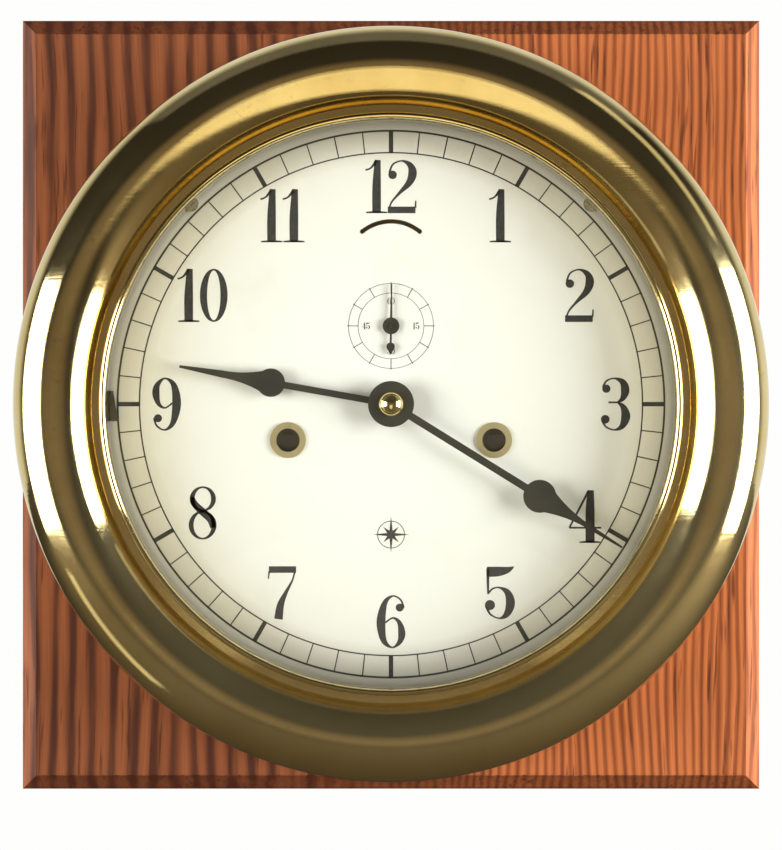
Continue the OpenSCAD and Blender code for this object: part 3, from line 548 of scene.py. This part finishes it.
class Sheet:
    """Flat printing on the dial as one mesh. Points are (x, y) in millimetres from the dial's centre."""

    def __init__(self):
        self.bm = bmesh.new()

    def face(self, points):
        verts = [self.bm.verts.new((x * MM, 0, y * MM)) for x, y in points]
        self.bm.faces.new(verts)

    def strip(self, left, right):
        """A band between two rows of points."""
        for a, b, c, d in zip(left, left[1:], right[1:], right):
            self.face((a, b, c, d))

    def ring(self, centre, inner, outer, steps=180):
        turns = [2 * math.pi * i / steps for i in range(steps + 1)]
        rows = [
            [(centre[0] + r * math.sin(a), centre[1] + r * math.cos(a)) for a in turns]
            for r in (inner, outer)
        ]
        self.strip(*rows)

    def disc(self, centre, radius, steps=28):
        turns = [2 * math.pi * i / steps for i in range(steps)]
        self.face([(centre[0] + radius * math.cos(a), centre[1] + radius * math.sin(a)) for a in turns])

    def spoke(self, centre, angle, inner, outer, width):
        """A short bar along a radius, at an angle in degrees past 12 o'clock."""
        along = Vector((math.sin(math.radians(angle)), math.cos(math.radians(angle))))
        across = Vector((along.y, -along.x)) * width / 2
        middle = Vector(centre)
        near, far = middle + along * inner, middle + along * outer
        self.face([near - across, far - across, far + across, near + across])

    def stroke(self, points, shift, size):
        """A pen stroke of changing width."""
        line = curve_through(points)
        left, right = [], []
        for i, (x, y, w) in enumerate(line):
            before, after = line[max(i - 1, 0)], line[min(i + 1, len(line) - 1)]
            way = Vector((after[0] - before[0], after[1] - before[1])).normalized()
            left.append((shift[0] + size * (x - way.y * w), shift[1] + size * (y + way.x * w)))
            right.append((shift[0] + size * (x + way.y * w), shift[1] + size * (y - way.x * w)))
        self.strip(left, right)

    def oval(self, centre, reach, halves, shift, size, steps=48):
        """An oval line, with one half width at its sides and another at its top and bottom."""
        turns = [2 * math.pi * i / steps for i in range(steps + 1)]
        rows = []
        for sign in (-1, 1):
            wide = reach[0] + sign * halves[0]
            high = reach[1] + sign * halves[1]
            rows.append([
                (shift[0] + size * (centre[0] + wide * math.sin(a)),
                 shift[1] + size * (centre[1] + high * math.cos(a)))
                for a in turns
            ])
        self.strip(*rows)

    def finish(self, name, material):
        """The printing as a piece just proud of the dial's face."""
        bmesh.ops.translate(self.bm, verts=self.bm.verts, vec=(0, DIAL_FACE - PRINT_LIFT * MM, 0))
        mesh = bpy.data.meshes.new(name)
        self.bm.to_mesh(mesh)
        self.bm.free()
        return piece(name, mesh, material, "clock")


THICK = 0.08
THIN = 0.017

# Each numeral: its width, its pen strokes as (x, y, half width) points, its ovals as
# (centre, reach, half widths) and its balls as (x, y, radius), all as shares of its height
NUMERALS = {
    "0": (0.52, [], [((0.26, 0.5), (0.193, 0.483), (0.067, THIN))], []),
    "1": (0.4, [
        [(0.21, 0.0, THICK), (0.21, 0.5, THICK), (0.23, 1.0, 0.055)],
        [(0.0, 0.81, THIN), (0.1, 0.85, THIN), (0.2, 0.97, 0.03)],
        [(0.01, 0.013, 0.013), (0.12, 0.018, 0.018), (0.3, 0.018, 0.018), (0.41, 0.013, 0.013)],
    ], [], []),
    "2": (0.54, [
        [(0.03, 0.76, 0.02), (0.1, 0.92, THIN), (0.27, 0.983, THIN), (0.42, 0.9, 0.055), (0.465, 0.75, THICK),
         (0.4, 0.57, 0.062), (0.22, 0.38, 0.028), (0.08, 0.22, THIN), (0.03, 0.1, THIN)],
        [(0.0, 0.062, 0.062), (0.52, 0.062, 0.062)],
        [(0.52, 0.1, THIN), (0.525, 0.235, 0.012)],
    ], [], [(0.09, 0.72, 0.08)]),
    "3": (0.56, [
        [(0.045, 0.82, 0.02), (0.12, 0.94, THIN), (0.27, 0.983, THIN), (0.42, 0.91, 0.06),
         (0.465, 0.76, THICK), (0.42, 0.61, 0.05), (0.33, 0.54, THIN)],
        [(0.15, 0.533, THIN), (0.35, 0.533, THIN)],
        [(0.33, 0.53, THIN), (0.43, 0.44, 0.055), (0.475, 0.27, 0.085), (0.41, 0.09, 0.055),
         (0.27, 0.017, THIN), (0.11, 0.07, THIN), (0.03, 0.19, 0.02)],
    ], [], [(0.11, 0.79, 0.078), (0.09, 0.215, 0.082)]),
    "4": (0.6, [
        [(0.39, 0.0, 0.085), (0.39, 0.6, 0.083), (0.4, 0.99, 0.06)],
        [(0.36, 0.975, 0.022), (0.0, 0.285, THIN)],
        [(0.0, 0.285, THIN), (0.6, 0.285, THIN)],
        [(0.19, 0.013, 0.013), (0.3, 0.018, 0.018), (0.48, 0.018, 0.018), (0.58, 0.013, 0.013)],
    ], [], []),
    "5": (0.57, [
        [(0.045, 0.89, 0.095), (0.25, 0.895, 0.09), (0.43, 0.925, 0.06), (0.55, 0.985, 0.01)],
        [(0.06, 0.95, 0.03), (0.065, 0.47, THIN)],
        [(0.065, 0.48, THIN), (0.15, 0.57, THIN), (0.28, 0.592, THIN), (0.43, 0.5, 0.06), (0.485, 0.3, 0.085),
         (0.42, 0.1, 0.06), (0.28, 0.017, THIN), (0.11, 0.09, THIN), (0.03, 0.24, 0.025)],
    ], [], [(0.1, 0.265, 0.095)]),
    "7": (0.52, [
        [(0.01, 0.932, 0.062), (0.52, 0.932, 0.062)],
        [(0.015, 0.9, THIN), (0.0, 0.755, 0.012)],
        [(0.505, 0.93, THIN), (0.45, 0.73, 0.018), (0.33, 0.5, 0.035), (0.23, 0.27, 0.065),
         (0.19, 0.0, THICK)],
    ], [], []),
    "8": (0.54, [
        [(0.075, 0.8, 0.04), (0.12, 0.67, 0.06), (0.27, 0.52, 0.07), (0.42, 0.38, 0.07), (0.465, 0.22, 0.05)],
    ], [((0.275, 0.765), (0.2, 0.218), (0.045, THIN)), ((0.27, 0.27), (0.215, 0.253), (0.045, THIN))], []),
    "9": (0.545, [
        [(0.035, 0.24, 0.02), (0.09, 0.09, THIN), (0.24, 0.017, THIN), (0.39, 0.15, 0.05), (0.46, 0.5, 0.083),
         (0.41, 0.85, 0.055), (0.25, 0.983, THIN), (0.11, 0.88, 0.045), (0.07, 0.71, 0.068),
         (0.12, 0.51, 0.04), (0.24, 0.43, THIN), (0.38, 0.52, THIN)],
    ], [], [(0.11, 0.235, 0.075)]),
}


def turned_over(numeral):
    """A numeral turned half a turn, as a 6 is a 9."""
    width, strokes, ovals, balls = numeral
    return (width, [[(width - x, 1 - y, w) for x, y, w in points] for points in strokes], ovals,
            [(width - x, 1 - y, r) for x, y, r in balls])


NUMERALS["6"] = turned_over(NUMERALS["9"])


def write_number(sheet, text, centre, height):
    """A number in fat-face numerals, centred on a point."""
    gap = 0.02
    total = sum(NUMERALS[c][0] for c in text) + gap * (len(text) - 1)
    x = centre[0] - height * total / 2
    for c in text:
        width, strokes, ovals, balls = NUMERALS[c]
        shift = (x, centre[1] - height / 2)
        for points in strokes:
            sheet.stroke(points, shift, height)
        for middle, reach, halves in ovals:
            sheet.oval(middle, reach, halves, shift, height)
        for bx, by, radius in balls:
            sheet.disc((shift[0] + height * bx, shift[1] + height * by), height * radius)
        x += height * (width + gap)


def print_track():
    """Two lines with a mark for each minute between them."""
    track = Sheet()
    track.ring((0, 0), TRACK_OUT - OUTER_LINE, TRACK_OUT + OUTER_LINE, 360)
    track.ring((0, 0), TRACK_IN - INNER_LINE, TRACK_IN + INNER_LINE, 360)
    for minute in range(60):
        width = HOUR_MARK_W if minute % 5 == 0 else MINUTE_MARK_W
        track.spoke((0, 0), 6 * minute, TRACK_IN, TRACK_OUT, width)
    track.finish("minute_track", INK)


def print_numbers():
    """The hour numerals, three of them a little farther out."""
    numbers = Sheet()
    for hour in range(1, 13):
        a = math.radians(30 * hour)
        r = WIDE_NUMERAL_R if hour in (3, 4, 9) else NUMERAL_R
        write_number(numbers, str(hour), (r * math.sin(a), r * math.cos(a)), NUMERAL_H)
    numbers.finish("hour_numerals", INK)


def print_seconds():
    """The seconds ring, with a mark for every five seconds and four small numbers."""
    seconds = Sheet()
    for radius in (SECONDS_OUT, SECONDS_IN):
        seconds.ring(SECONDS_AT, radius - SECONDS_LINE, radius + SECONDS_LINE, 120)
    for second in range(0, 60, 5):
        seconds.spoke(SECONDS_AT, 6 * second, SECONDS_IN, SECONDS_OUT + SECONDS_MARK_PAST, SECONDS_MARK_W)
    for text, angle in (("60", 0), ("15", 90), ("30", 180), ("45", 270)):
        a = math.radians(angle)
        x = SECONDS_AT[0] + SECONDS_NUMERAL_R * math.sin(a)
        y = SECONDS_AT[1] + SECONDS_NUMERAL_R * math.cos(a)
        write_number(seconds, text, (x, y), SECONDS_NUMERAL_H)
    seconds.finish("seconds_ring", INK)


def print_star():
    """A plain compass star in a thin ring."""
    star = Sheet()
    for i in range(8):
        a = math.radians(45 * i)
        length = STAR_LONG if i % 2 == 0 else STAR_SHORT
        tip = (length * math.sin(a), -STAR_DROP + length * math.cos(a))
        for side in (-1, 1):
            b = a + side * math.radians(22.5)
            waist = (STAR_WAIST * math.sin(b), -STAR_DROP + STAR_WAIST * math.cos(b))
            star.face([(0, -STAR_DROP), tip, waist][::side])
    star.ring((0, -STAR_DROP), STAR_RING_IN, STAR_RING_OUT, 64)
    star.finish("compass_star", INK)


# ---------------------------------------------------------------- camera, light and stage


def aim(obj, at):
    """Point a camera or a lamp at a place."""
    obj.rotation_euler = (Vector(at) - obj.location).to_track_quat("-Z", "Y").to_euler()


def camera():
    data = bpy.data.cameras.new("camera")
    data.sensor_fit = "HORIZONTAL"
    data.sensor_width = SENSOR
    data.lens = FOCAL_PX * SENSOR / IMAGE_W
    obj = bpy.data.objects.new("camera", data)
    bpy.context.collection.objects.link(obj)
    obj.location = (0, -CAMERA_AWAY, -CAMERA_DROP)
    aim(obj, (0, 0, -CAMERA_DROP))
    bpy.context.scene.camera = obj


def lamp(name, place, at, size, power, colour=(1, 1, 1), shape="RECTANGLE"):
    """A soft light of size (width, height)."""
    data = bpy.data.lights.new(name, "AREA")
    data.shape = shape
    data.size, data.size_y = size
    data.energy = power
    data.color = colour
    obj = bpy.data.objects.new(name, data)
    bpy.context.collection.objects.link(obj)
    obj.location = place
    obj.visible_camera = False
    aim(obj, at)


def light():
    """Long soft boxes at the sides, a low warm card in front, two small ones askew, and a dim top light."""
    for name, side, forward, low, width, power in SOFT_BOXES:
        level = (-forward, -low)
        lamp(name, (BOX_AWAY * side, *level), (0, *level), (width, BOX_H), power, BOX_WHITE)
    lamp("card", (0, -1.2, -0.1), (0, -1.2, 1.0), (0.22, 2.0), 1.2, CARD_AMBER, "ELLIPSE")
    for name, side in (("low_left_card", -1), ("high_right_card", 1)):
        away = (0.42 * side, -0.2, 0.4 * side)
        rim = (0.09 * side, -0.09, 0.09 * side)
        lamp(name, away, rim, (0.1, 0.34), 0.08, CARD_CREAM)
    lamp("top_light", (0, 0.35, 1.5), (0, 0.1, 0), (2.6, 1.8), 1.8)


def room():
    """A pale backdrop for the camera and behind the clock, and a dim, warm room in front of it.

    Steep directions are drawn towards the dark shades in the middle of ROOM_SHADES.
    """
    world = bpy.data.worlds.new("studio")
    bpy.context.scene.world = world
    bpy.context.scene.view_settings.view_transform = "Standard"
    t = Tree(world, "ShaderNodeOutputWorld")
    way = t.add("ShaderNodeTexCoord")
    axes = t.split(way.outputs["Generated"])
    steep = t.maths("ABSOLUTE", axes["Z"], 0.0)
    flat = t.maths("SUBTRACT", 1.0, t.maths("MULTIPLY", steep, STEEP_FADE))
    level = t.maths("MULTIPLY", flat, axes["Y"])
    around = t.add("ShaderNodeBackground")
    t.join(t.ramp(t.spread(level, 0.0, 1.0, -1.0, 1.0), ROOM_SHADES), around.inputs["Color"])
    backdrop = t.add("ShaderNodeBackground")
    backdrop.inputs["Color"].default_value = BACKDROP
    t.for_camera(backdrop.outputs[0], around.outputs[0])


def stage():
    """A round, pale floor under the clock."""
    bm = bmesh.new()
    bmesh.ops.create_circle(bm, cap_ends=True, segments=128, radius=FLOOR_R)
    bmesh.ops.translate(bm, verts=bm.verts, vec=(0, 0, BOARD_LOW[2] - FLOOR_DROP))
    mesh = bpy.data.meshes.new("floor")
    bm.to_mesh(mesh)
    bm.free()
    mesh.materials.append(paper("paper"))
    obj = bpy.data.objects.new("floor", mesh)
    bpy.context.collection.objects.link(obj)


dress_nodes()
turned_bezel()
print_track()
print_numbers()
print_seconds()
print_star()
camera()
light()
room()
stage()

bpy.context.view_layer.update()
